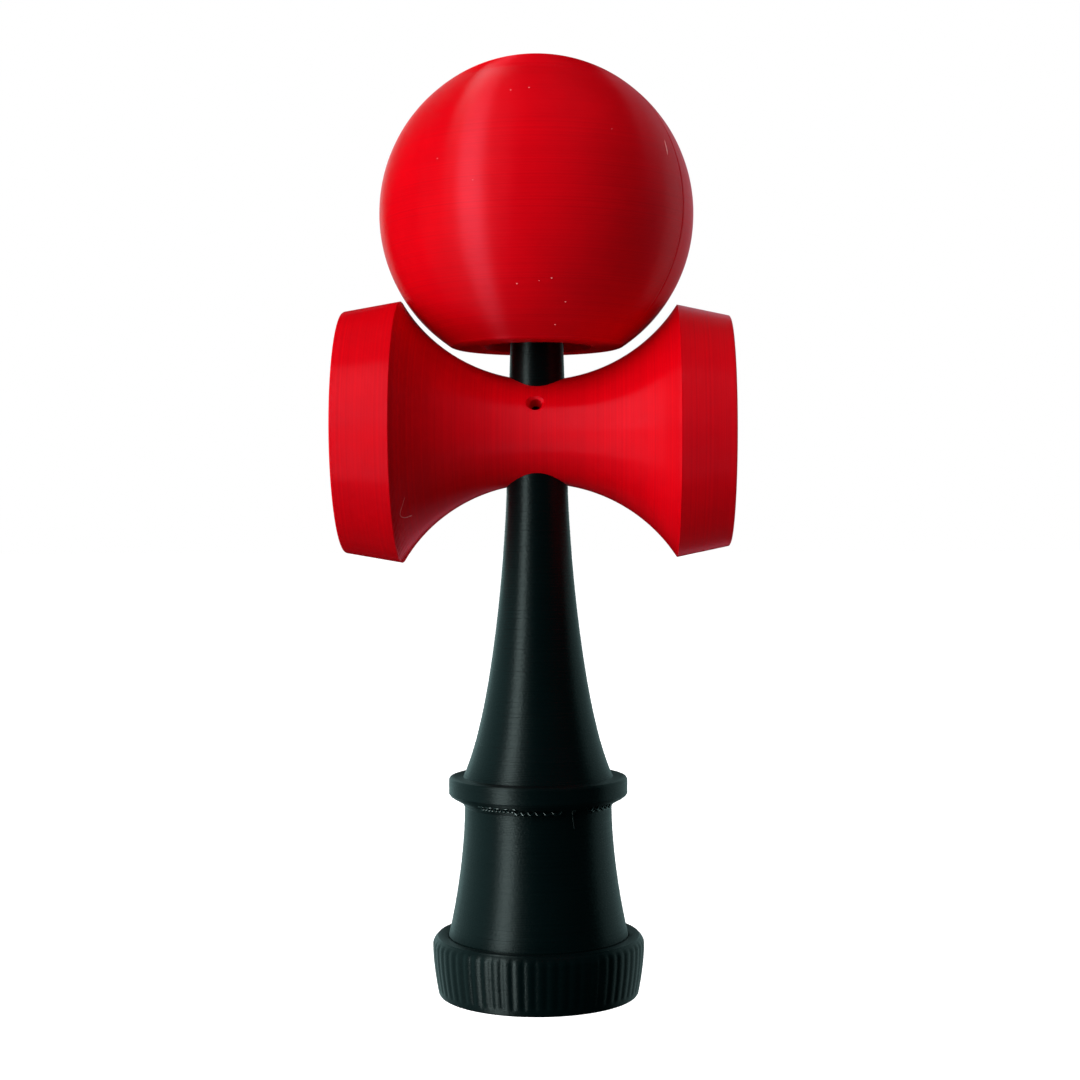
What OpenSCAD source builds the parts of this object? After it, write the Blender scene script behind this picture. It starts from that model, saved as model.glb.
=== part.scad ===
// Printed kendama: a handle with a spike, a crosspiece with a cup at each end, a screw-on
// base cup under the handle, and a ball that sits on the spike.
// Millimetres. The origin is the centre of the base cup's rim, +Z runs up the handle to the
// spike, and the crosspiece lies along X with its big cup at -X. The front is -Y.

/* [Ball] */
// Diameter of the ball
ball_d = 60; // [58:0.5:60.5]
// Height of the ball's centre over the base
ball_z = 148.7; // [148.5:0.1:149.5]
// Diameter of the flat under the ball
ball_flat_d = 32.4; // [30:0.2:36]
// Diameter of the hole for the spike
spike_hole_d = 21; // [18:0.5:23]
// Depth of the hole for the spike
spike_hole_depth = 41; // [40.5:0.5:44]
// Chamfer at the mouth of the hole for the spike
spike_hole_chamfer = 0.8; // [0.4:0.1:1.5]
// Diameter of the string hole in the top of the ball
ball_string_d = 3; // [2:0.2:4]

/* [Crosspiece] */
// Height of the crosspiece's axis over the base
cross_z = 107.3; // [107:0.1:107.5]
// Length of the crosspiece from rim to rim
cross_len = 73.5; // [72:0.5:76]
// Diameter of the waist
waist_d = 19.9; // [18:0.1:20.2]
// Radius of the saddle between the two cups
saddle_r = 31; // [30.8:0.1:32]
// Distance of the waist from the handle's axis, towards the small cup
waist_shift = 0.7; // [0:0.1:1]
// Distance of the big cup's ridge from the waist
big_ridge_x = 26.6; // [26:0.1:27]
// Distance of the small cup's ridge from the waist
small_ridge_x = 26; // [25.5:0.1:26.5]
// Diameter of the big cup's rim
big_rim_d = 46.4; // [45:0.2:48]
// Diameter of the small cup's rim
small_rim_d = 44; // [43:0.2:45]
// Diameter of the big cup's mouth
big_mouth_d = 43; // [40:0.2:43.2]
// Diameter of the small cup's mouth
small_mouth_d = 40.4; // [38:0.2:40.6]
// Radius of the hollow in both cups
cup_r = 30.5; // [30.2:0.1:32]
// Diameter of the string hole in the crosspiece
cross_string_d = 2.4; // [2:0.1:3]
// Angle of the string hole over the level
string_tilt = 30; // [25:1:35]

/* [Handle] */
// Height of the spike's tip over the base
tip_z = 162.6; // [160:0.2:163]
// Radius of the spike's rounded tip
tip_r = 2.4; // [2:0.1:2.8]
// Radius of the spike just over the crosspiece
spike_r = 5.27; // [5:0.01:5.4]
// Radius of the shaft just under the crosspiece
shaft_r = 5.9; // [5.8:0.01:6]
// Height of the collar's top
collar_z = 41.4; // [41:0.1:42]
// Radius of the collar
collar_r = 17.13; // [16.5:0.01:18]
// Height of the collar's straight edge
collar_h = 3.2; // [2.8:0.1:3.4]
// Radius of the barrel just under the collar
barrel_top_r = 14.1; // [13.8:0.1:14.4]
// Radius of the barrel at its foot
barrel_foot_r = 17.2; // [17:0.05:17.25]

/* [Base cup] */
// Height of the base cup's shoulder
cap_h = 11.2; // [11:0.1:11.5]
// Largest radius of the base cup
cap_r = 20.25; // [20:0.05:21]
// Radius of the base cup's rim on the ground
cap_rim_r = 19.2; // [19:0.05:19.5]
// Radius of the base cup's mouth
cap_mouth_r = 17; // [16:0.1:17.4]
// Number of grip flutes round the base cup
flutes = 60; // [40:1:64]
// Depth of a grip flute
flute_depth = 0.32; // [0.2:0.02:0.4]
// Length of the threaded stud
stud_len = 10.5; // [9:0.5:11]
// Outside radius of the stud's thread
thread_r = 11.8; // [11:0.1:11.9]
// Pitch of the thread
thread_pitch = 3; // [2.5:0.1:3.5]
// Depth of the thread
thread_depth = 1; // [0.6:0.1:1.1]

/* [Fit] */
// Gap between the shaft and the crosspiece's bore
taper_gap = 0.05; // [0.02:0.01:0.1]
// Gap between the two threads
thread_gap = 0.3; // [0.25:0.05:0.4]
// Gap between the barrel's foot and its seat
seat_gap = 0.15; // [0.1:0.05:0.3]
// Gap between the barrel's foot and the lip round it
groove_w = 0.15; // [0.1:0.05:0.3]

/* [Hidden] */
$fn = 96;
round_fn = 128;
eps = 0.01;
edge_steps = 4;
red = [0.80, 0.03, 0.07];
dark_green = [0.05, 0.10, 0.09];

// Ball
ball_r = ball_d / 2;
flat_drop = sqrt(pow(ball_r, 2) - pow(ball_flat_d / 2, 2));
flat_z = ball_z - flat_drop;
hole_end_z = flat_z + spike_hole_depth;
string_chamfer = 0.5;

// Crosspiece: its outline is drawn as (distance from the waist, radius)
waist_r = waist_d / 2;
saddle_y = waist_r + saddle_r;
big_ridge_r = saddle_y - sqrt(pow(saddle_r, 2) - pow(big_ridge_x, 2));
small_ridge_r = saddle_y - sqrt(pow(saddle_r, 2) - pow(small_ridge_x, 2));
big_rim_x = cross_len / 2 + waist_shift;
small_rim_x = cross_len / 2 - waist_shift;
big_cup_x = big_rim_x + sqrt(pow(cup_r, 2) - pow(big_mouth_d / 2, 2));
small_cup_x = small_rim_x + sqrt(pow(cup_r, 2) - pow(small_mouth_d / 2, 2));
edge_r = 0.4;
edge_turn = 80;
saddle_steps = 32;
cross_countersink = 0.35;
countersink_h = 1;

// Handle: the straight taper that the crosspiece sits on runs through its bore. Each bend is
// how far a curve's handle lies from the end that it shapes, as [radius, height]
taper_z0 = 96.2;
taper_z1 = 118.4;
taper_slope = (shaft_r - spike_r) / (taper_z1 - taper_z0);
collar_under_z = collar_z - collar_h;
collar_under_drop = 0.4;
collar_under_in = 0.3;
collar_edge_r = 0.7;
bevel_z = collar_under_z - 1.9;
bevel_step = [0.3, 0.7];
bevel_bend_in = [0.5, 0.4];
bevel_bend_out = [0.8, 0.4];
seat_z = 10;
foot_z = seat_z + seat_gap;
foot_chamfer = 0.35;
foot_band = 1;
barrel_bend_foot = [0.8, 4.25];
barrel_bend_top = [0.1, 10];
flare_r = 14.35;
flare_bend = [5.65, 12.3];
shaft_bend = 12;
spike_bend_foot = 14;
spike_bend_tip = [1.5, 16.6];
tip_shoulder = 0.25;
flare_steps = 24;
curve_steps = 12;
knot_pocket_d = 4.6;
knot_pocket_x = 1.5;

// Threads
stud_r = thread_r - thread_depth;
stud_chamfer = 0.8;
thread_sink = 0.2;
socket_room = 1.5;
socket_r = thread_r + thread_gap;
socket_len = stud_len + socket_room;
socket_roof_r = 3;
thread_start = 1.8;
thread_turns = 2.6;
thread_steps = 24;
thread_land = 0.7;
thread_least = 0.05;

// Base cup: its outline's edges and bends, then its flutes
cap_cup_z = -sqrt(pow(cup_r, 2) - pow(cap_mouth_r, 2));
cap_belly_z = 9.2;
cap_edge = 0.4;
cap_edge_mid = [0.08, 0.25];
cap_edge_z = 0.5;
cap_bend_rim = [0.45, 2.1];
cap_bend_belly = 2.7;
shoulder_r = 1.8;
lip_h = 0.6;
lip_bend = [0.55, 0.2];
flute_r = 1.1;
flute_fn = 24;
flute_z0 = 1.6;
flute_end = 1;
flute_share = 0.25;

// Radius of the tapered shaft at height z
function taper_r(z) = shaft_r - (z - taper_z0) * taper_slope;

// Points of an arc about (cx, cy), from angle a0 to angle a1
function arc(cx, cy, r, a0, a1, n) =
    [for (i = [0:n]) let (a = a0 + (a1 - a0) * i / n) [cx + r * cos(a), cy + r * sin(a)]];

// Points of a cubic curve from p0 to p3 that leaves along p0-p1 and arrives along p2-p3
function curve(p0, p1, p2, p3, n) =
    [for (i = [0:n]) let (t = i / n, s = 1 - t)
        s * s * s * p0 + 3 * s * s * t * p1 + 3 * s * t * t * p2 + t * t * t * p3];

// One ridge of a screw thread round Z, from height z0, between radii r0 and r1.
// It is r1-r0 deep, wider at r0 than at r1, and starts and ends at no depth.
module screw_ridge(r0, r1, z0, turns) {
    steps = round(turns * thread_steps);
    wide = thread_pitch / 2 - thread_land / 2;
    rings = [for (i = [0:steps]) let (
            a = 360 * i / thread_steps,
            z = z0 + thread_pitch * i / thread_steps,
            grow = min(1, min(i, steps - i) / (thread_steps / 4) + thread_least),
            r = r0 + (r1 - r0) * grow)
        [[r0 * cos(a), r0 * sin(a), z - wide], [r0 * cos(a), r0 * sin(a), z + wide],
         [r * cos(a), r * sin(a), z + thread_land / 2],
         [r * cos(a), r * sin(a), z - thread_land / 2]]];
    sides = [for (i = [0:steps - 1], k = [0:3])
        [4 * i + 4 + k, 4 * i + 4 + (k + 1) % 4, 4 * i + (k + 1) % 4, 4 * i + k]];
    points = [for (ring = rings, p = ring) p];
    last = 4 * steps;
    ends = [[0, 1, 2, 3], [last + 3, last + 2, last + 1, last]];
    polyhedron(points, concat(sides, ends), convexity = 10);
}

// Straight hole for the string, square to the crosspiece's axis and tilted over the level
module string_axis() {
    translate([0, 0, cross_z]) rotate([90 - string_tilt, 0, 0]) children();
}

module ball() {
    color(red) difference() {
        translate([0, 0, ball_z]) sphere(r = ball_r, $fn = round_fn);
        translate([0, 0, flat_z - ball_r]) cylinder(r = ball_r, h = ball_r);
        translate([0, 0, flat_z - eps]) cylinder(d = spike_hole_d, h = spike_hole_depth + eps);
        translate([0, 0, flat_z - eps])
            cylinder(r1 = spike_hole_d / 2 + spike_hole_chamfer, r2 = spike_hole_d / 2,
                h = spike_hole_chamfer + eps);
        translate([0, 0, hole_end_z - eps]) cylinder(d = ball_string_d, h = ball_r);
        translate([0, 0, ball_z + ball_r - string_chamfer])
            cylinder(r1 = ball_string_d / 2, r2 = ball_string_d / 2 + 2 * string_chamfer,
                h = 2 * string_chamfer);
    }
}

// Outline of the crosspiece as [radius, distance from the waist]
function crosspiece_outline() =
    let (a0 = asin(-big_ridge_x / saddle_r), a1 = asin(small_ridge_x / saddle_r))
    [for (p = concat(
        [[-big_rim_x, 0]],
        arc(edge_r - big_rim_x, big_rim_d / 2 - edge_r, edge_r, 180, 180 - edge_turn, edge_steps),
        [[-big_ridge_x - edge_r, big_ridge_r]],
        arc(0, saddle_y, saddle_r, a0 - 90, a1 - 90, saddle_steps),
        [[small_ridge_x + edge_r, small_ridge_r]],
        arc(small_rim_x - edge_r, small_rim_d / 2 - edge_r, edge_r, edge_turn, 0, edge_steps),
        [[small_rim_x, 0]])) [p[1], p[0]]];

module crosspiece() {
    bore_r0 = taper_r(cross_z - waist_d) + taper_gap;
    bore_r1 = taper_r(cross_z + waist_d) + taper_gap;
    color(red) difference() {
        translate([waist_shift, 0, cross_z]) rotate([0, 90, 0])
            rotate_extrude() polygon(crosspiece_outline());
        translate([waist_shift - big_cup_x, 0, cross_z]) sphere(r = cup_r, $fn = round_fn);
        translate([waist_shift + small_cup_x, 0, cross_z]) sphere(r = cup_r, $fn = round_fn);
        translate([0, 0, cross_z - waist_d])
            cylinder(r1 = bore_r0, r2 = bore_r1, h = 2 * waist_d);
        string_axis() cylinder(d = cross_string_d, h = waist_d);
        string_axis() translate([0, 0, waist_r - cross_countersink])
            cylinder(r1 = cross_string_d / 2, r2 = cross_string_d / 2 + countersink_h,
                h = countersink_h);
    }
}

module handle_outline() {
    foot = [barrel_foot_r, foot_z + foot_band];
    barrel_top = [barrel_top_r, bevel_z - bevel_step[1]];
    bevel_foot = [barrel_top_r + bevel_step[0], bevel_z];
    bevel_top = [collar_r - collar_under_in, collar_under_z - collar_under_drop];
    flare_foot = [flare_r, collar_z];
    shaft_top = [shaft_r, taper_z0];
    spike_foot = [spike_r, taper_z1];
    spike_top = [tip_r + tip_shoulder, tip_z - tip_r];
    polygon(concat(
        [[0, foot_z], [barrel_foot_r - foot_chamfer, foot_z],
         [barrel_foot_r, foot_z + foot_chamfer]],
        curve(foot, foot + [-barrel_bend_foot[0], barrel_bend_foot[1] - foot_band],
            barrel_top + [barrel_bend_top[0], -barrel_bend_top[1]], barrel_top, curve_steps),
        curve(bevel_foot, bevel_foot + bevel_bend_in, bevel_top - bevel_bend_out, bevel_top,
            edge_steps),
        [[collar_r, collar_under_z]],
        arc(collar_r - collar_edge_r, collar_z - collar_edge_r, collar_edge_r, 0, edge_turn,
            edge_steps),
        curve(flare_foot, flare_foot + [-flare_bend[0], flare_bend[1]],
            shaft_top + shaft_bend * [taper_slope, -1], shaft_top, flare_steps),
        curve(spike_foot, spike_foot + spike_bend_foot * [-taper_slope, 1],
            [spike_bend_tip[0] + tip_r, tip_z - spike_bend_tip[1]], spike_top, curve_steps),
        arc(0, tip_z - tip_r, tip_r, 30, 90, curve_steps / 2)));
}

module handle() {
    color(dark_green) difference() {
        rotate_extrude() handle_outline();
        string_axis() translate([0, 0, -shaft_r]) cylinder(d = cross_string_d, h = 3 * shaft_r);
        string_axis() translate([0, 0, -2 * shaft_r])
            cylinder(d = knot_pocket_d, h = 2 * shaft_r - knot_pocket_x);
        translate([0, 0, foot_z - eps]) cylinder(r = socket_r, h = socket_len + eps);
        translate([0, 0, foot_z + socket_len - eps])
            cylinder(r1 = socket_r, r2 = socket_roof_r, h = socket_r - socket_roof_r);
        screw_ridge(socket_r - thread_sink, socket_r + thread_depth, foot_z + thread_start,
            thread_turns);
    }
}

module cap_outline() {
    rim = [cap_rim_r, cap_edge_z];
    belly = [cap_r, cap_belly_z];
    shoulder = [cap_r - shoulder_r, cap_h];
    lip = [barrel_foot_r + groove_w, cap_h - lip_h];
    polygon(concat(
        [[0, 0], [cap_rim_r - cap_edge, 0], [cap_rim_r - cap_edge_mid[0], cap_edge_mid[1]]],
        curve(rim, rim + cap_bend_rim, belly - [0, cap_bend_belly], belly, 2 * edge_steps),
        arc(shoulder[0], cap_h - shoulder_r, shoulder_r, 90 - edge_turn, 90, 2 * edge_steps),
        curve(shoulder - [eps, 0], shoulder - [lip_bend[0], 0], lip + [0, lip_bend[1]], lip,
            edge_steps),
        [[lip[0], seat_z], [0, seat_z]]));
}

// An upright groove that leans with the wall. It fades out over the rim, and at the shoulder
// the wall rounds away from it
module flute() {
    lean = atan((cap_r - cap_rim_r) / cap_belly_z);
    wall_r = cap_rim_r + (cap_r - cap_rim_r) * flute_share;
    small_r = flute_r - flute_depth;
    translate([wall_r + small_r, 0, flute_z0]) rotate([0, lean, 0]) {
        cylinder(r = flute_r, h = cap_h, $fn = flute_fn);
        translate([0, 0, -flute_end])
            cylinder(r1 = small_r, r2 = flute_r, h = flute_end, $fn = flute_fn);
    }
}

module base_cup() {
    color(dark_green) difference() {
        union() {
            rotate_extrude() cap_outline();
            translate([0, 0, seat_z - eps])
                cylinder(r = stud_r, h = stud_len - stud_chamfer + eps);
            translate([0, 0, seat_z + stud_len - stud_chamfer])
                cylinder(r1 = stud_r, r2 = stud_r - stud_chamfer, h = stud_chamfer);
            screw_ridge(stud_r - thread_sink, thread_r, seat_z + thread_start, thread_turns);
        }
        translate([0, 0, cap_cup_z]) sphere(r = cup_r, $fn = round_fn);
        for (i = [0:flutes - 1]) rotate([0, 0, 360 * i / flutes]) flute();
    }
}

handle();
base_cup();
crosspiece();
ball();
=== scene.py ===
"""Looks of a printed kendama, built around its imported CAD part.

Every large piece is a revolved print. Its outline is cut into the printer's layers: a wall gets a
groove between each two beads, and a shallow slope gets one step a layer. The rows are then turned
about the print's axis. Outlines are in millimetres, as (radius, distance along that axis).
"""

import math

import bpy
import numpy as np
from mathutils import Matrix, Vector


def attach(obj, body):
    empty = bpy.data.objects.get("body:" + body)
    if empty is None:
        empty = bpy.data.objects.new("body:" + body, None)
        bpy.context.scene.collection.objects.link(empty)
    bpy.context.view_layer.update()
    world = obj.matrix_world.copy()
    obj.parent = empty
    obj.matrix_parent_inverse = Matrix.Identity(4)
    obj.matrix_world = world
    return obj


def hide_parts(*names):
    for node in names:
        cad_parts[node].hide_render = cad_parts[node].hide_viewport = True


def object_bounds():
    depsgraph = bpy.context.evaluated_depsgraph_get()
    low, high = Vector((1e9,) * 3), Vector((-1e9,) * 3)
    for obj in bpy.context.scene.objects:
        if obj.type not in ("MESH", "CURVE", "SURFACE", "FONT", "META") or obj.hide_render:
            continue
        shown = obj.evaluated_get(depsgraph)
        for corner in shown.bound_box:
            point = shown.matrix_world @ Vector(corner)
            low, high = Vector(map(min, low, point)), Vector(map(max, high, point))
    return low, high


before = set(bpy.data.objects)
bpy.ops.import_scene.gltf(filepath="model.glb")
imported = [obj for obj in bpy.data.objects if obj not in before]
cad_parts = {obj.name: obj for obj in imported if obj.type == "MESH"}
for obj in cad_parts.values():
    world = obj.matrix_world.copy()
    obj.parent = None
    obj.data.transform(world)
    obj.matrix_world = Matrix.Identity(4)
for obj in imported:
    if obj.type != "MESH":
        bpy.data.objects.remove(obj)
cad_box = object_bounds()

MM = 0.001


# ---------------------------------------------------------------- sizes, in millimetres

# These are the sizes that part.scad has, apart from shallower flutes, a narrower groove over
# them, and no chamfer at the ball's spike hole.

# Ball
BALL_R = 30.0
BALL_Z = 148.7
FLAT_R = 16.2
FLAT_Z = BALL_Z - math.sqrt(BALL_R**2 - FLAT_R**2)
SPIKE_HOLE_R, SPIKE_HOLE_LEN = 10.5, 41.0
SPIKE_HOLE_END = FLAT_Z + SPIKE_HOLE_LEN
STRING_HOLE_R = 1.5

# Crosspiece
CROSS_Z = 107.3
WAIST_X = 0.7
WAIST_R = 9.95
SADDLE_R = 31.0
BIG_RIM_X, BIG_RIM_R, BIG_MOUTH_R, BIG_RIDGE_X = 37.45, 23.2, 21.5, 26.6
SMALL_RIM_X, SMALL_RIM_R, SMALL_MOUTH_R, SMALL_RIDGE_X = 36.05, 22.0, 20.2, 26.0
CUP_R = 30.5
STRING_TILT = math.radians(30)
CROSS_STRING_R = 1.2

# Handle
TIP_Z, TIP_R = 162.6, 2.4
SHAFT_R, SPIKE_R = 5.9, 5.27
TAPER_Z0, TAPER_Z1 = 96.2, 118.4
TAPER_SLOPE = (SHAFT_R - SPIKE_R) / (TAPER_Z1 - TAPER_Z0)
TAPER_GAP = 0.05
COLLAR_Z, COLLAR_R, COLLAR_H = 41.4, 17.13, 3.2
BEVEL_H = 1.9
BEVEL_Z = COLLAR_Z - COLLAR_H - BEVEL_H
BARREL_TOP_R, BARREL_FOOT_R, FOOT_Z = 14.1, 17.2, 10.15
SOCKET_R, SOCKET_LEN = 12.1, 12.0
POCKET_R, POCKET_END = 2.3, 1.5

# Base cup
SHOULDER_Z, BELLY_Z, BELLY_R, RIM_R, MOUTH_R = 11.2, 9.2, 20.25, 19.2, 17.0
SHOULDER_R = 1.8
GROOVE_GAP = 0.1
SEAT_Z, STUD_R, STUD_LEN = 10.0, 10.8, 10.5
FLUTES, FLUTE_DEPTH = 60, 0.14
THREAD_DEPTH, THREAD_PITCH, THREAD_TURNS, THREAD_START = 1.0, 3.0, 2.6, 1.8
BASE_CUP_DROP = 20.0   # the joint's range

# Printing
RED_LAYER = 0.20
GREEN_LAYER = 0.30
HIDDEN_LAYER = 0.60
BEAD_DEPTH = 0.030
# Rows of one layer: place on a wall, place on a step, height within the step, share of the depth
BEAD_ROWS = ((0.0, 0.40, 0.0, 1.0), (0.33, 0.50, 0.5, 0.1), (0.67, 0.60, 1.0, 0.1))
STEP_SLOPES = (0.72, 0.92)   # how level a wall has to be for steps to begin, and to be whole
LEVEL = 0.9995               # flatter than this is one layer's own face, and gets no rows
END_MARGIN = 1.2             # points at each end of a stretch that get no rows
LAYERS = 4000                # more than any piece has
SEAM_ANGLE = math.radians(-23.5)
SEAM_DEPTH, SEAM_WIDTH = 0.11, 0.22
SEAM_RIDGE, SEAM_RIDGE_AT, SEAM_RIDGE_WIDTH = 0.03, 0.6, 0.3
AXIS_R = 0.02                # outlines that meet the axis end at this radius

# Meshes
CURVE_STEP = 0.05
DENSE_STEP = 0.03
BALL_SIDES, CROSS_SIDES, HANDLE_SIDES, CUP_SIDES = 76, 64, 46, FLUTES * 6
BORE_SIDES, TOOL_SIDES = 72, 40
CLOSEST_SIDES = 0.002        # in radians


# ---------------------------------------------------------------- camera, light and floor

# In metres and radians, apart from the focal length
CAMERA_YAW = math.radians(1.9)
CAMERA_PITCH = math.radians(-0.33)
CAMERA_ROLL = math.radians(-0.18)
CAMERA_DISTANCE = 0.348
CAMERA_X, CAMERA_Z = 0.0005, 0.0886
FOCAL_MM = 60.5
LIGHTS_AIM = (0, 0, 0.095)
FLOOR_HALF = 8.0
FLOOR_GAP = 0.0005

# Some lights shine on one of these groups only
dark_parts = bpy.data.collections.new("dark parts")
red_parts = bpy.data.collections.new("red parts")
ball_parts = bpy.data.collections.new("ball parts")
cross_parts = bpy.data.collections.new("crosspiece parts")


def make_camera():
    """The photo's view, from a little to the right of the front."""
    data = bpy.data.cameras.new("camera")
    data.lens = FOCAL_MM
    data.sensor_width = 36.0
    data.clip_start = 0.01
    data.clip_end = 20.0
    camera = bpy.data.objects.new("camera", data)
    bpy.context.scene.collection.objects.link(camera)
    place = Vector((math.sin(CAMERA_YAW), -math.cos(CAMERA_YAW), 0.0)) * CAMERA_DISTANCE
    place += Vector((CAMERA_X, 0, CAMERA_Z))
    yaw = Matrix.Rotation(CAMERA_YAW, 4, "Z")
    pitch = Matrix.Rotation(math.pi / 2 + CAMERA_PITCH, 4, "X")
    roll = Matrix.Rotation(CAMERA_ROLL, 4, "Z")
    camera.matrix_world = Matrix.Translation(place) @ yaw @ pitch @ roll
    bpy.context.scene.camera = camera


def area_light(name, azimuth, elevation, distance, size, watts, colour=(1, 1, 1), lit=None,
               turn=0):
    """A soft rectangle of light, azimuth degrees to the right of the front, aimed at the object.

    lit is the collection that it is kept to, and turn is its own turn in degrees.
    """
    data = bpy.data.lights.new(name, "AREA")
    data.shape = "RECTANGLE"
    data.size, data.size_y = size
    data.energy = watts
    data.color = colour
    light = bpy.data.objects.new(name, data)
    bpy.context.scene.collection.objects.link(light)
    a, e = math.radians(azimuth), math.radians(elevation)
    way = Vector((math.sin(a) * math.cos(e), -math.cos(a) * math.cos(e), math.sin(e)))
    light.location = Vector(LIGHTS_AIM) + way * distance
    light.rotation_euler = (-way).to_track_quat("-Z", "Y").to_euler()
    if turn:
        light.rotation_euler.rotate_axis("Z", math.radians(turn))
    if lit:
        light.light_linking.receiver_collection = lit
    return light


def make_lights():
    """A tall window, a skylight and dim walls for the glare, and wide fills for the shading."""
    teal, pink, rose = (0.65, 1.0, 1.0), (1.0, 0.78, 0.95), (1.0, 0.27, 0.38)
    # Name, azimuth, elevation, distance, size, watts, colour, parts that it shines on
    glares = (
        area_light("window", -47.0, 6, 1.1, (0.36, 2.3), 17.0, turn=5),
        area_light("skylight", -147, 57, 1.1, (0.66, 0.13), 1.1, lit=ball_parts, turn=25),
        area_light("left_wall", -110, 2, 1.0, (1.68, 1.5), 4.6, teal, dark_parts),
        area_light("back_wall", -158, 2, 1.0, (0.45, 1.5), 1.4, teal, dark_parts),
        area_light("right_wall", 135, 2, 1.0, (1.68, 1.5), 3.4, teal, dark_parts),
        area_light("back_left", -158, 26, 1.0, (0.45, 0.8), 0.8, lit=ball_parts),
        area_light("low_right", 140, -16, 1.0, (1.2, 0.8), 2.0, rose, cross_parts),
        area_light("back_right", 135, 26, 1.0, (1.68, 0.8), 1.8, pink, red_parts),
    )
    for glare in glares:
        glare.visible_diffuse = False
    fills = (
        area_light("upper_fill", -44, 26, 1.0, (0.9, 0.9), 10.8),
        area_light("lower_fill", -68, -26, 1.0, (0.9, 0.9), 5.0),
        area_light("right_fill", 136, 8, 1.0, (0.9, 0.9), 6.5),
        area_light("top_fill", 0, 85, 1.0, (0.9, 0.9), 1.25),
    )
    for fill in fills:
        fill.visible_glossy = False


def node(tree, kind, **inputs):
    """Adds a shader node, with constants on its sockets."""
    n = tree.nodes.new(kind)
    for key, value in inputs.items():
        n.inputs[key].default_value = value
    return n


def map_range(tree, from_min, from_max, to_min, to_max):
    """Adds a node that maps one range of values to another."""
    n = tree.nodes.new("ShaderNodeMapRange")
    n.inputs["From Min"].default_value = from_min
    n.inputs["From Max"].default_value = from_max
    n.inputs["To Min"].default_value = to_min
    n.inputs["To Max"].default_value = to_max
    return n


def make_world():
    """Dim room light on the object, and a white background for the camera."""
    world = bpy.data.worlds.new("studio")
    bpy.context.scene.world = world
    world.cycles_visibility.glossy = False
    world.use_nodes = True
    tree = world.node_tree
    tree.nodes.clear()
    room = node(tree, "ShaderNodeBackground", Color=(0.9, 0.95, 1.0, 1), Strength=0.22)
    white = node(tree, "ShaderNodeBackground", Color=(1, 1, 1, 1), Strength=1.0)
    path = node(tree, "ShaderNodeLightPath")
    mix = node(tree, "ShaderNodeMixShader")
    out = node(tree, "ShaderNodeOutputWorld")
    tree.links.new(path.outputs["Is Camera Ray"], mix.inputs[0])
    tree.links.new(room.outputs[0], mix.inputs[1])
    tree.links.new(white.outputs[0], mix.inputs[2])
    tree.links.new(mix.outputs[0], out.inputs[0])


def make_floor():
    """A pale floor that only the camera sees, low enough to leave the dropped base cup in view.

    Its glow is a little dimmer near the object than far away.
    """
    far = FLOOR_HALF
    mesh = bpy.data.meshes.new("floor")
    mesh.from_pydata([(-far, -far, 0), (far, -far, 0), (far, far, 0), (-far, far, 0)], [],
                     [(0, 1, 2, 3)])
    floor = bpy.data.objects.new("floor", mesh)
    bpy.context.scene.collection.objects.link(floor)
    floor.location.z = cad_box[0][2] - BASE_CUP_DROP * MM - FLOOR_GAP
    floor.visible_diffuse = False
    floor.visible_glossy = False
    floor.visible_transmission = False
    floor.visible_shadow = False
    mat = bpy.data.materials.new("floor")
    mat.use_nodes = True
    tree = mat.node_tree
    shader = tree.nodes["Principled BSDF"]
    shader.inputs["Base Color"].default_value = (0.95, 0.95, 0.95, 1)
    shader.inputs["Roughness"].default_value = 1.0
    shader.inputs["Specular IOR Level"].default_value = 0.0
    shader.inputs["Emission Color"].default_value = (1, 1, 1, 1)
    place = node(tree, "ShaderNodeTexCoord")
    away = node(tree, "ShaderNodeVectorMath")
    away.operation = "LENGTH"
    glow = map_range(tree, 0.12, 0.6, 0.80, 1.0)
    tree.links.new(place.outputs["Object"], away.inputs[0])
    tree.links.new(away.outputs["Value"], glow.inputs["Value"])
    tree.links.new(glow.outputs["Result"], shader.inputs["Emission Strength"])
    mesh.materials.append(mat)


# ---------------------------------------------------------------- outlines

def line(p, q):
    """A straight stretch from p to q."""
    return np.array([p, q], float)


def lines(*points):
    """The straight stretches from each point to the next."""
    return [line(p, q) for p, q in zip(points, points[1:])]


def arc(centre, radius, start, end):
    """An arc about centre, from start to end in degrees, drawn finely."""
    steps = max(6, int(abs(math.radians(end - start)) * radius / CURVE_STEP))
    t = np.radians(np.linspace(start, end, steps + 1))
    return np.stack([centre[0] + radius * np.cos(t), centre[1] + radius * np.sin(t)], 1)


def curve(p0, p1, p2, p3):
    """A cubic curve from p0 to p3 that leaves towards p1 and arrives from p2."""
    p = np.array([p0, p1, p2, p3], float)
    steps = max(8, int(np.linalg.norm(np.diff(p, axis=0), axis=1).sum() / CURVE_STEP))
    t = np.linspace(0, 1, steps + 1)[:, None]
    s = 1 - t
    return s**3 * p[0] + 3 * s**2 * t * p[1] + 3 * s * t**2 * p[2] + t**3 * p[3]


def joined(stretches):
    """The same outline, with a straight stretch in the place of each None."""
    count = len(stretches)
    return [line(stretches[i - 1][-1], stretches[(i + 1) % count][0]) if s is None else s
            for i, s in enumerate(stretches)]


def dense(points):
    """The same polyline with a point at least every DENSE_STEP."""
    out = [points[:1]]
    for p, q in zip(points[:-1], points[1:]):
        n = max(1, int(math.ceil(np.linalg.norm(q - p) / DENSE_STEP)))
        out.append(p + (q - p) * np.linspace(0, 1, n + 1)[1:, None])
    return np.concatenate(out)


def smoothstep(x, low, high):
    """0 up to low, 1 from high, and a soft rise between them."""
    t = np.clip((x - low) / (high - low), 0, 1)
    return t * t * (3 - 2 * t)


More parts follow.
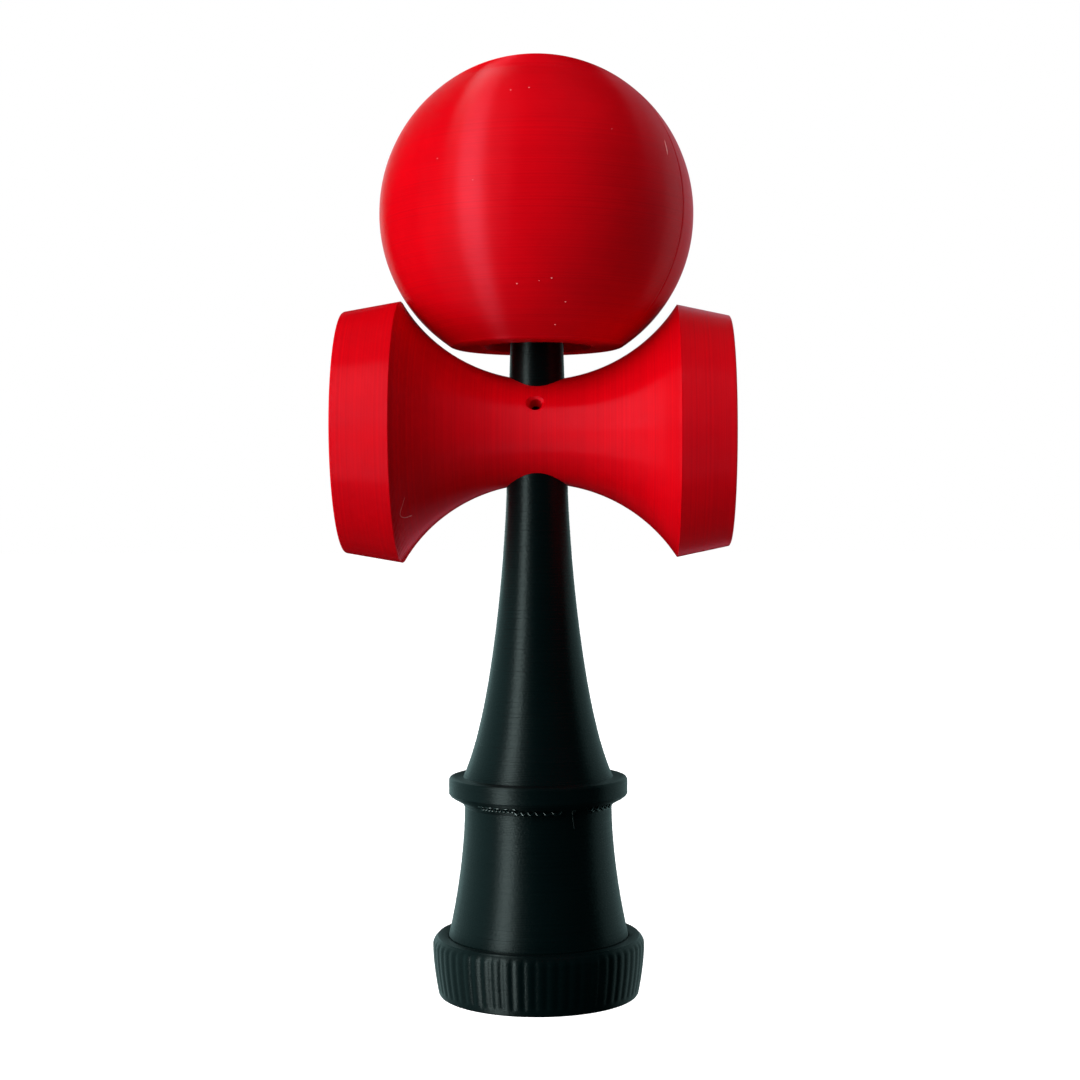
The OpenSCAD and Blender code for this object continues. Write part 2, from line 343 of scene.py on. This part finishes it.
def bead_rows(p, layer, bed, wobble):
    """The rows that the layers put on a dense stretch p, in order, without its two ends."""
    tangent = np.gradient(p, axis=0)
    tangent /= np.linalg.norm(tangent, axis=1)[:, None] + 1e-12
    normal = np.stack([tangent[:, 1], -tangent[:, 0]], 1)
    flat = smoothstep(np.abs(normal[:, 1]), *STEP_SLOPES)
    level = np.abs(normal[:, 1]) > LEVEL
    found = []
    for wall_share, step_share, rise, depth in BEAD_ROWS:
        edge = wall_share + flat * (step_share - wall_share)
        phase = (p[:, 1] - bed) / layer - edge
        step = np.floor(phase)
        for i in np.nonzero(np.diff(step))[0]:
            if level[i]:
                continue
            k = max(step[i], step[i + 1])
            t = (k - phase[i]) / (phase[i + 1] - phase[i])
            inset = (depth * BEAD_DEPTH + wobble[int(k) % len(wobble)]) * (1 - flat[i])
            q = p[i] + t * (p[i + 1] - p[i]) - normal[i] * inset
            plane = bed + layer * (k + rise)
            q[1] += flat[i] * (plane - q[1])
            found.append((i + t, q))
    found.sort(key=lambda f: f[0])
    return [q for at, q in found if END_MARGIN < at < len(p) - 1 - END_MARGIN]


def filled(rows, gap):
    """The same rows, with more between any two that are over gap millimetres apart."""
    out = [rows[0]]
    for q in rows[1:]:
        start = out[-1]
        n = int(np.linalg.norm(q - start) / gap)
        out.extend(start + (q - start) * j / (n + 1) for j in range(1, n + 1))
        out.append(q)
    return out


def printed(stretches, layer, bed, seed, gap=1.0, unevenness=0.004):
    """Cuts an outline into printed layers and returns its rows, as points (radius, distance).

    The outline runs round the material with the outside on its right. Ends of stretches stay
    exactly where they are. bed is where the first layer starts, and unevenness is the spread of
    how far the layers stand out.
    """
    wobble = np.random.default_rng(seed).normal(0, unevenness, LAYERS)
    rows = []
    for stretch in stretches:
        p = dense(stretch)
        found = filled([p[0], *bead_rows(p, layer, bed, wobble), p[-1]], gap)
        rows.extend(found[1:] if rows else found)
    return np.array(rows)


# ---------------------------------------------------------------- meshes

def add_mesh(name, points, faces):
    """Adds an object with a new mesh, its points in metres."""
    mesh = bpy.data.meshes.new(name)
    mesh.from_pydata(points, [], faces)
    mesh.validate()
    mesh.update()
    obj = bpy.data.objects.new(name, mesh)
    bpy.context.scene.collection.objects.link(obj)
    return obj


def revolve(name, outline, angles, bend=None, axis="Z", origin=(0, 0, 0), closed=False):
    """Turns an outline's rows about an axis. The faces close at both poles, or in a ring.

    bend takes the radii, distances and angles, and returns new radii.
    """
    rr, tt = np.meshgrid(outline[:, 0], angles, indexing="ij")
    aa = np.repeat(outline[:, 1][:, None], len(angles), 1)
    if bend:
        rr = bend(rr, aa, tt)
    side, rise = rr * np.cos(tt), rr * np.sin(tt)
    co = np.stack([side, rise, aa] if axis == "Z" else [aa, side, rise], -1)
    co = (co + np.array(origin)) * MM
    rows, cols = rr.shape
    index = np.arange(rows * cols).reshape(rows, cols)
    right = np.roll(index, -1, 1)
    low = np.arange(rows if closed else rows - 1)
    high = (low + 1) % rows
    quads = np.stack([index[low], right[low], right[high], index[high]], -1).reshape(-1, 4)
    points, faces = co.reshape(-1, 3), quads.tolist()
    if not closed:
        points, faces = close_pole(points, faces, index[0], right[0], flip=True)
        points, faces = close_pole(points, faces, index[-1], right[-1], flip=False)
    return add_mesh(name, points.tolist(), faces)


def close_pole(points, faces, ring, right, flip):
    """Closes an end ring with one point in its middle."""
    middle = len(points)
    points = np.concatenate([points, points[ring].mean(0)[None]])
    for i, j in zip(ring, right):
        faces.append([middle, int(j), int(i)] if flip else [middle, int(i), int(j)])
    return points, faces


def even_angles(count, extra=()):
    """Even angles round the circle and some extra ones, less any that all but repeat another."""
    angles = list(np.linspace(-math.pi, math.pi, count, endpoint=False))
    angles = np.unique(np.round(angles + list(extra), 6))
    keep = [angles[0]]
    for v in angles[1:]:
        if v - keep[-1] > CLOSEST_SIDES:
            keep.append(v)
    return np.array(keep)


def cut(obj, *cutters):
    """Takes the cutters out of obj, and removes them."""
    for cutter in cutters:
        mod = obj.modifiers.new("cut", "BOOLEAN")
        mod.operation = "DIFFERENCE"
        mod.solver = "EXACT"
        mod.object = cutter
    depsgraph = bpy.context.evaluated_depsgraph_get()
    mesh = bpy.data.meshes.new_from_object(obj.evaluated_get(depsgraph))
    obj.modifiers.clear()
    old = obj.data
    obj.data = mesh
    mesh.name = old.name
    bpy.data.meshes.remove(old)
    for cutter in cutters:
        bpy.data.objects.remove(cutter)


def string_tool(name, *points):
    """A cutter turned about the string hole's axis, with 0 on the crosspiece's axis."""
    tool = revolve(name, np.array(points, float), even_angles(TOOL_SIDES))
    tool.data.transform(Matrix.Rotation(math.pi / 2 - STRING_TILT, 4, "X"))
    tool.data.transform(Matrix.Translation((0, 0, CROSS_Z * MM)))
    return tool


def finish_piece(obj, body, material, nodes=(), sharp=24):
    obj.data.materials.clear()
    obj.data.materials.append(material)
    obj.data.polygons.foreach_set("use_smooth", [True] * len(obj.data.polygons))
    obj.data.set_sharp_from_angle(angle=math.radians(sharp))
    obj.data.update()
    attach(obj, body)
    if nodes:
        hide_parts(*nodes)
    return obj


# ---------------------------------------------------------------- materials

def printed_plastic(name, axis, layer, deep, bright, roughness, anisotropy, specular, tint,
                    grain):
    """Filament plastic: bands along the layers, and a highlight stretched across them."""
    mat = bpy.data.materials.new(name)
    mat.use_nodes = True
    tree = mat.node_tree
    links = tree.links
    shader = tree.nodes["Principled BSDF"]
    shader.inputs["Anisotropic"].default_value = anisotropy
    shader.inputs["Anisotropic Rotation"].default_value = 0.25
    shader.inputs["Specular IOR Level"].default_value = specular
    shader.inputs["Specular Tint"].default_value = (*tint, 1)

    tangent = node(tree, "ShaderNodeTangent")
    tangent.direction_type = "RADIAL"
    tangent.axis = axis
    links.new(tangent.outputs[0], shader.inputs["Tangent"])

    place = node(tree, "ShaderNodeTexCoord")
    fine, slow = 1 / (layer * MM), 8.0
    across = node(tree, "ShaderNodeMapping",
                  Scale=(fine, slow, slow) if axis == "X" else (slow, slow, fine))
    links.new(place.outputs["Object"], across.inputs["Vector"])
    bands = node(tree, "ShaderNodeTexNoise", Scale=0.7, Detail=2.0, Roughness=0.6)
    links.new(across.outputs[0], bands.inputs["Vector"])
    clouds = node(tree, "ShaderNodeTexNoise", Scale=90.0, Detail=3.0, Roughness=0.55)
    links.new(place.outputs["Object"], clouds.inputs["Vector"])

    mixed = node(tree, "ShaderNodeMix")
    mixed.data_type = "FLOAT"
    mixed.inputs["Factor"].default_value = 0.4
    links.new(bands.outputs["Fac"], mixed.inputs["A"])
    links.new(clouds.outputs["Fac"], mixed.inputs["B"])
    ramp = node(tree, "ShaderNodeValToRGB")
    for stop, position, colour in zip(ramp.color_ramp.elements, (0.30, 0.70), (deep, bright)):
        stop.position = position
        stop.color = (*colour, 1)
    links.new(mixed.outputs["Result"], ramp.inputs["Fac"])
    links.new(ramp.outputs["Color"], shader.inputs["Base Color"])

    rough = map_range(tree, 0.3, 0.7, roughness - 0.03, roughness + 0.03)
    links.new(bands.outputs["Fac"], rough.inputs["Value"])
    links.new(rough.outputs[0], shader.inputs["Roughness"])

    pits = node(tree, "ShaderNodeTexNoise", Scale=2600.0, Detail=2.0, Roughness=0.5)
    links.new(place.outputs["Object"], pits.inputs["Vector"])
    bump = node(tree, "ShaderNodeBump", Strength=0.4, Distance=grain)
    links.new(pits.outputs["Fac"], bump.inputs["Height"])
    links.new(bump.outputs[0], shader.inputs["Normal"])
    return mat


# ---------------------------------------------------------------- ball

def make_ball(material):
    """The ball, with its flat underside, the spike's hole, the string's hole and its seam."""
    top = BALL_Z + BALL_R
    edge = math.degrees(math.atan2(FLAT_Z - BALL_Z, FLAT_R))
    blunt_turn, blunt = 0.5, 0.2
    lip = 0.5
    crown = math.degrees(math.acos((STRING_HOLE_R + lip) / BALL_R))
    crown_z = BALL_Z + BALL_R * math.sin(math.radians(crown))
    outline = joined([
        arc((0, BALL_Z), BALL_R, edge + blunt_turn, crown),
        *lines((STRING_HOLE_R + lip, crown_z), (STRING_HOLE_R, crown_z - lip),
               (STRING_HOLE_R, SPIKE_HOLE_END), (SPIKE_HOLE_R, SPIKE_HOLE_END),
               (SPIKE_HOLE_R, FLAT_Z), (FLAT_R - blunt, FLAT_Z)),
        None,
    ])
    outside = printed(outline[:1], RED_LAYER, FLAT_Z, seed=11, unevenness=0.0014)
    inside = printed(outline[1:], HIDDEN_LAYER, FLAT_Z, seed=12, gap=4.0)
    rows = np.concatenate([outside, inside[1:-1]])
    skin = 0.3
    seam_sides = SEAM_ANGLE + np.radians([-2.2, -1.2, -0.7, -0.3, 0.0, 0.3, 0.7, 1.2, 2.2])

    def seam(rr, aa, tt):
        """A shallow groove up the ball, where each layer starts, with a low ridge on each side."""
        off = (tt - SEAM_ANGLE) * BALL_R
        outer = (rr**2 + (aa - BALL_Z) ** 2) > (BALL_R - skin) ** 2
        fade = smoothstep(aa, FLAT_Z + 1, FLAT_Z + 6) * (1 - smoothstep(aa, top - 4, top - 1))
        groove = SEAM_DEPTH * np.exp(-(off / SEAM_WIDTH) ** 2)
        ridge = SEAM_RIDGE * np.exp(-((np.abs(off) - SEAM_RIDGE_AT) / SEAM_RIDGE_WIDTH) ** 2)
        return rr - outer * fade * (groove - ridge)

    ball = revolve("ball_print", rows, even_angles(BALL_SIDES, seam_sides), bend=seam, closed=True)
    return finish_piece(ball, "ball", material, ["ball"])


# ---------------------------------------------------------------- crosspiece

def cup_hollow(rim_x, mouth_r):
    """The centre and the half angle of a cup's round hollow, for a cup whose rim is at rim_x."""
    centre = rim_x + math.sqrt(CUP_R**2 - mouth_r**2)
    return centre, math.degrees(math.asin(mouth_r / CUP_R))


def make_crosspiece(material):
    """The crosspiece, printed on its big cup, with the handle's bore and the string's mouth."""
    rim_edge = 0.4
    blunt_turn = 0.3
    big_c, big_half = cup_hollow(BIG_RIM_X, BIG_MOUTH_R)
    small_c, small_half = cup_hollow(SMALL_RIM_X, SMALL_MOUTH_R)
    big_turn = math.degrees(math.asin(BIG_RIDGE_X / SADDLE_R))
    small_turn = math.degrees(math.asin(SMALL_RIDGE_X / SADDLE_R))
    turn = np.radians(np.linspace(-big_turn, small_turn, 900))
    saddle = np.stack([WAIST_R + SADDLE_R - SADDLE_R * np.cos(turn), SADDLE_R * np.sin(turn)], 1)
    outline = joined([
        arc((0, -big_c), CUP_R, 90, 90 - big_half + blunt_turn),
        None,
        arc((BIG_RIM_R - rim_edge, rim_edge - BIG_RIM_X), rim_edge, 270, 350),
        None,
        saddle,
        None,
        arc((SMALL_RIM_R - rim_edge, SMALL_RIM_X - rim_edge), rim_edge, 10, 90),
        None,
        arc((0, small_c), CUP_R, 270 + small_half - blunt_turn, 270),
    ])
    outline[0][0, 0] = AXIS_R
    outline[-1][-1, 0] = AXIS_R
    rows = printed(outline, RED_LAYER, -BIG_RIM_X, seed=21, unevenness=0.0016)
    cross = revolve("crosspiece_print", rows, even_angles(CROSS_SIDES), axis="X",
                    origin=(WAIST_X, 0, CROSS_Z))

    reach = 14.0
    low, high = CROSS_Z - reach, CROSS_Z + reach
    low_r, high_r = (SHAFT_R - (z - TAPER_Z0) * TAPER_SLOPE + TAPER_GAP for z in (low, high))
    bore = revolve("bore_tool",
                   np.array([(AXIS_R, low), (low_r, low), (high_r, high), (AXIS_R, high)]),
                   even_angles(BORE_SIDES))
    sink, clear = 0.55, 0.6
    string = string_tool("string_tool", (AXIS_R, 0), (CROSS_STRING_R, 0),
                         (CROSS_STRING_R, WAIST_R - sink),
                         (CROSS_STRING_R + sink + clear, WAIST_R + clear),
                         (AXIS_R, WAIST_R + clear), (AXIS_R / 2, WAIST_R + clear))
    cut(cross, bore, string)
    return finish_piece(cross, "crosspiece", material, ["crosspiece"])


# ---------------------------------------------------------------- handle

def thread(height, turn, start):
    """Share of a thread's depth, 0 to 1, at a height and an angle, with both ends faded out."""
    ahead = (height - start) / THREAD_PITCH - turn / (2 * math.pi)
    share = np.abs(ahead - np.round(ahead)) * THREAD_PITCH
    land, root = 0.35, 1.15
    form = 1 - np.clip((share - land) / (root - land), 0, 1)
    wound = np.round(ahead) + turn / (2 * math.pi)
    run_in = 0.25
    end = THREAD_TURNS
    return form * (smoothstep(wound, 0.0, run_in) * (1 - smoothstep(wound, end - run_in, end)))


def make_handle(material):
    """The handle, with the base cup's socket, the string's hole and the knot's pocket."""
    under = COLLAR_Z - COLLAR_H
    roof_r = 3.0
    socket_top = FOOT_Z + SOCKET_LEN
    roof_z = socket_top + SOCKET_R - roof_r
    lip = 0.35
    edge = 0.7
    neck_r = BARREL_TOP_R + 0.3
    drip_r, drip_z = COLLAR_R - 0.3, under - 0.4
    inside = lines((AXIS_R, roof_z), (roof_r, roof_z), (SOCKET_R, socket_top), (SOCKET_R, FOOT_Z),
                   (BARREL_FOOT_R - lip, FOOT_Z))
    # Foot, barrel, bevel, collar, flare and shaft, taper, spike. A curve's middle points steer it
    outside = joined([
        *lines((BARREL_FOOT_R - lip, FOOT_Z), (BARREL_FOOT_R, FOOT_Z + lip),
               (BARREL_FOOT_R, FOOT_Z + 1)),
        curve((BARREL_FOOT_R, FOOT_Z + 1), (16.4, 14.4), (BARREL_TOP_R + 0.1, 25),
              (BARREL_TOP_R, BEVEL_Z - 0.7)),
        line((BARREL_TOP_R, BEVEL_Z - 0.7), (neck_r, BEVEL_Z)),
        curve((neck_r, BEVEL_Z), (BARREL_TOP_R + 0.8, BEVEL_Z + 0.4),
              (COLLAR_R - 1.1, under - 0.8), (drip_r, drip_z)),
        *lines((drip_r, drip_z), (COLLAR_R, under), (COLLAR_R, COLLAR_Z - edge)),
        arc((COLLAR_R - edge, COLLAR_Z - edge), edge, 0, 84),
        None,
        curve((14.35, COLLAR_Z), (8.7, 53.7), (SHAFT_R + TAPER_SLOPE * 12, 84.2),
              (SHAFT_R, TAPER_Z0)),
        line((SHAFT_R, TAPER_Z0), (SPIKE_R, TAPER_Z1)),
        curve((SPIKE_R, TAPER_Z1), (SPIKE_R - TAPER_SLOPE * 14, TAPER_Z1 + 14), (3.9, 146),
              (TIP_R + 0.25, TIP_Z - TIP_R)),
        None,
        arc((0, TIP_Z - TIP_R), TIP_R, 20, 89.5),
    ])
    inner = printed(inside, HIDDEN_LAYER, FOOT_Z, seed=32)
    outer = printed(outside, GREEN_LAYER, FOOT_Z, seed=31, gap=0.6, unevenness=0.009)
    rows = np.concatenate([inner[:-1], outer])

    def inner_thread(rr, aa, tt):
        """A thread in the socket's wall."""
        near, clear = 0.05, 0.01
        wall = (np.abs(rr - SOCKET_R) < near) & (aa < socket_top - clear) & (aa > FOOT_Z + clear)
        return rr + wall * THREAD_DEPTH * thread(aa, tt, FOOT_Z + THREAD_START)

    handle = revolve("handle_print", rows, even_angles(HANDLE_SIDES), bend=inner_thread)
    reach = 3 * SHAFT_R
    string = string_tool("string_tool", (AXIS_R, -SHAFT_R), (CROSS_STRING_R, -SHAFT_R),
                         (CROSS_STRING_R, reach), (AXIS_R, reach))
    pocket = string_tool("pocket_tool", (AXIS_R, -reach), (POCKET_R, -reach),
                         (POCKET_R, -POCKET_END), (AXIS_R, -POCKET_END))
    cut(handle, string, pocket)
    return finish_piece(handle, "handle", material, ["handle"])


# ---------------------------------------------------------------- base cup

def make_base_cup(material):
    """The base cup, with a hollow below, grip flutes round it and a threaded stud on top."""
    hollow_z = -math.sqrt(CUP_R**2 - MOUTH_R**2)
    half = math.degrees(math.asin(MOUTH_R / CUP_R))
    lip_r, lip_z = RIM_R - 0.4, 0.5
    top_r = BELLY_R - SHOULDER_R
    groove_r = BARREL_FOOT_R + GROOVE_GAP
    groove_z = SHOULDER_Z - 0.35
    stud_top = SEAT_Z + STUD_LEN
    chamfer = 0.8
    belly = curve((RIM_R, lip_z), (RIM_R + 0.45, 2.6), (BELLY_R, 6.5), (BELLY_R, BELLY_Z))
    shoulder = arc((top_r, SHOULDER_Z - SHOULDER_R), SHOULDER_R, 6, 90)
    # Hollow, rim, belly, shoulder, groove. A curve's middle points steer it
    outside = [
        arc((0, hollow_z), CUP_R, 90, 90 - half),
        line((MOUTH_R, 0), (lip_r, 0)),
        curve((lip_r, 0), (RIM_R - 0.15, 0), (RIM_R - 0.03, 0.2), (RIM_R, lip_z)),
        np.concatenate([belly, shoulder[:1]]),
        shoulder,
        curve((top_r, SHOULDER_Z), (top_r - 0.8, SHOULDER_Z), (groove_r, SHOULDER_Z - 0.1),
              (groove_r, groove_z)),
        line((groove_r, groove_z), (groove_r, SEAT_Z)),
    ]
    outside[0][0, 0] = AXIS_R
    inside = lines((groove_r, SEAT_Z), (STUD_R, SEAT_Z), (STUD_R, stud_top - chamfer),
                   (STUD_R - chamfer, stud_top), (AXIS_R, stud_top))
    outer = printed(outside, GREEN_LAYER, 0.0, seed=41, gap=3.0)
    inner = printed(inside, HIDDEN_LAYER, 0.0, seed=42)
    rows = np.concatenate([outer, inner[1:]])

    def fluted(rr, aa, tt):
        """Grip flutes round the belly, and a thread round the stud."""
        wave = (0.5 + 0.5 * np.cos(FLUTES * tt)) ** 2
        fade = smoothstep(aa, 0.7, 1.7) * (1 - smoothstep(aa, SHOULDER_Z - 1.4, SHOULDER_Z - 0.2))
        outer_wall = rr > top_r + 0.3
        rr = rr - outer_wall * fade * FLUTE_DEPTH * wave
        near, clear = 0.06, 0.01
        stud = (np.abs(rr - STUD_R) < near) & (aa > SEAT_Z + clear)
        stud &= aa < stud_top - chamfer + clear
        return rr + stud * THREAD_DEPTH * thread(aa, tt, SEAT_Z + THREAD_START)

    cup = revolve("base_cup_print", rows, even_angles(CUP_SIDES), bend=fluted)
    return finish_piece(cup, "base_cup", material, ["base_cup"])


# ---------------------------------------------------------------- stray plastic

def tubes(name, runs, sides=8):
    """Round threads: each run is its points, in millimetres, and its radius at each of them."""
    points, faces = [], []
    turn = np.linspace(0, 2 * math.pi, sides, endpoint=False)
    for path, radius in runs:
        along = np.gradient(path, axis=0)
        along /= np.linalg.norm(along, axis=1)[:, None]
        out = path * [1, 1, 0] + [0, 0, 1e-6]
        across = np.cross(along, out)
        across /= np.linalg.norm(across, axis=1)[:, None]
        up = np.cross(across, along)
        start = len(points)
        for p, u, v, r in zip(path, across, up, radius):
            points.extend(p + r * (math.cos(t) * u + math.sin(t) * v) for t in turn)
        for i in range(len(path) - 1):
            low, high = start + i * sides, start + (i + 1) * sides
            for k in range(sides):
                n = (k + 1) % sides
                faces.append([low + k, low + n, high + n, high + k])
        faces.append([start + k for k in reversed(range(sides))])
        faces.append([start + (len(path) - 1) * sides + k for k in range(sides)])
    return add_mesh(name, [tuple(p * MM) for p in points], faces)


def around(azimuth, radius, height):
    """Points at an azimuth, in degrees to the right of the front, about the Z axis."""
    a = np.radians(azimuth)
    return np.stack([radius * np.sin(a), -radius * np.cos(a), height + 0 * a], -1)


def garland(start, end, loops, growth, out, height, sag, thick):
    """A strand that droops in loops under the collar, from one azimuth to another.

    It hangs out from the barrel, at a height over the collar's bevel, and its loops widen by
    about growth from the first to the last.
    """
    steps = 14
    knots = np.cumsum([0] + [growth ** (i / loops) for i in range(loops)])
    knots = start + (end - start) * knots / knots[-1]
    azimuth = np.concatenate([np.linspace(a, b, steps, endpoint=False)
                              for a, b in zip(knots[:-1], knots[1:])] + [knots[-1:]])
    share = np.concatenate([np.linspace(0, 1, steps, endpoint=False)] * loops + [[1.0]])
    droop = np.sin(math.pi * share) ** 0.8
    path = around(azimuth, BARREL_TOP_R + out + 0.15 * droop, BEVEL_Z + height - sag * droop)
    return path, thick * (0.8 + 0.45 * droop)


def make_strands(material):
    """What the printer left under the collar, where its overhang drooped."""
    t = np.linspace(0, 1, 24)
    end = around(28 + 0.8 * np.sin(6 * t), BARREL_TOP_R + 0.7, BEVEL_Z + 0.6 - 0.9 * t)
    # From and to an azimuth, loops, growth, distance out, height, sag, thickness
    runs = [garland(-41, -14, 9, 1.3, 1.1, 0.65, 0.40, 0.16),
            garland(-15, 18, 6, 1.5, 1.0, 0.45, 0.60, 0.21),
            garland(-44, -10, 5, 1.0, 1.5, 1.05, 0.20, 0.14),
            garland(37, 63, 5, 0.6, 1.3, 0.85, 0.60, 0.17),
            garland(40, 58, 3, 1.0, 0.9, 0.35, 0.45, 0.14),
            (end, 0.20 - 0.08 * t)]
    strands = tubes("collar_strands", runs)
    return finish_piece(strands, "handle", material, sharp=60)


def make_wisp(material):
    """A thin drip that ran from the strands down the barrel."""
    t = np.linspace(0, 1, 24)
    radius = BARREL_TOP_R + 0.9 - 0.75 * smoothstep(t, 0, 0.35) + 0.1 * t
    path = around(27 + 4 * t - 1.5 * t**2, radius, BEVEL_Z + 0.5 - 3.6 * t)
    wisp = tubes("barrel_wisp", [(path, 0.14 - 0.07 * t)])
    return finish_piece(wisp, "handle", material, sharp=60)


def make_specks(material):
    """Blobs that the nozzle left on the ball, and one short sliver at its side."""
    # Azimuth, latitude and size of each blob
    blobs = ((-1, 39, 0.09), (-9, 38, 0.09), (-35, 12, 0.09), (8, -31, 0.10), (-6, -33, 0.11),
             (12, -50, 0.09), (15, -40, 0.09), (3, -32, 0.07), (-20, 3, 0.06), (31, 22, 0.06),
             (140, 10, 0.10), (-120, -25, 0.10), (190, 35, 0.09), (100, -15, 0.10))
    t = np.linspace(-1, 1, 9)
    oval = np.sqrt(1.02 - t**2)
    runs = []
    for azimuth, latitude, size in blobs:
        tilt = math.radians(latitude)
        ring = BALL_R * math.cos(tilt)
        path = around(azimuth + np.degrees(1.6 * size * t / ring), ring,
                      BALL_Z + BALL_R * math.sin(tilt))
        runs.append((path, size * oval))
    lean = np.radians(19 + 3 * t)
    proud_r = BALL_R + 0.03
    sliver = around(59.0 + 0.6 * t, proud_r * np.cos(lean), BALL_Z + proud_r * np.sin(lean))
    runs.append((sliver, 0.09 * oval))
    specks = tubes("ball_specks", runs, sides=10)
    return finish_piece(specks, "ball", material, sharp=80)


def make_hair(material):
    """A fine loose hair of plastic on the crosspiece's big-cup side."""
    t = np.linspace(0, 1, 30)
    at = (0, 0.52, 0.62, 0.75, 1.0)
    path = np.stack([np.interp(t, at, (-23.6, -24.6, -24.5, -23.9, -22.8)),
                     np.interp(t, at, (94.5, 91.5, 91.0, 90.8, 91.25))], 1)
    for _ in range(3):
        path[1:-1] = (path[:-2] + path[1:-1] + path[2:]) / 3
    x, z = path.T
    proud = 0.05
    ring = WAIST_R + SADDLE_R - np.sqrt(SADDLE_R**2 - (x - WAIST_X) ** 2) + proud
    y = -np.sqrt(ring**2 - (z - CROSS_Z) ** 2)
    radius = 0.025 + 0.055 * smoothstep(t, 0.5, 0.9)
    hair = tubes("crosspiece_hair", [(np.stack([x, y, z], 1), radius)])
    return finish_piece(hair, "crosspiece", material, sharp=80)


# ---------------------------------------------------------------- build

bpy.context.scene.view_settings.view_transform = "Standard"
bpy.context.scene.view_settings.look = "None"
make_camera()
make_lights()
make_world()
make_floor()

RED = {"deep": (0.57, 0.0003, 0.0044), "bright": (0.73, 0.0003, 0.0050), "roughness": 0.31,
       "anisotropy": 1.0, "specular": 0.15, "tint": (1.0, 0.50, 0.75), "grain": 0.00001}
GREEN = {"deep": (0.0003, 0.0029, 0.0032), "bright": (0.0005, 0.0044, 0.0047), "roughness": 0.42,
         "anisotropy": 0.8, "specular": 0.25, "tint": (0.80, 1.0, 0.97), "grain": 0.00007}
DROOP = {**GREEN, "roughness": 0.18, "anisotropy": 0.0, "specular": 1.0}
# This pale pink, for the specks and the hair, is painted highlight: it keeps them bright even
# where they lie in shade.
PAINTED_HIGHLIGHT = {"deep": (0.90, 0.26, 0.26), "bright": (1.0, 0.42, 0.42), "roughness": 0.30,
        "anisotropy": 0.0, "specular": 1.0, "tint": (1.0, 1.0, 1.0), "grain": 0.00001}
red_ball = printed_plastic("red_ball_plastic", "Z", RED_LAYER, **RED)
red_cross = printed_plastic("red_crosspiece_plastic", "X", RED_LAYER, **RED)
green = printed_plastic("green_plastic", "Z", GREEN_LAYER, **GREEN)
droop = printed_plastic("droop_plastic", "Z", GREEN_LAYER, **DROOP)
pale = printed_plastic("painted_highlight_plastic", "X", RED_LAYER, **PAINTED_HIGHLIGHT)

ball, cross = make_ball(red_ball), make_crosspiece(red_cross)
ball_parts.objects.link(ball)
cross_parts.objects.link(cross)
# The specks and the hair get the pale pink of painted highlight.
for red in (ball, cross, make_specks(pale), make_hair(pale)):
    red_parts.objects.link(red)
for dark in (make_handle(green), make_base_cup(green), make_strands(droop), make_wisp(green)):
    dark_parts.objects.link(dark)
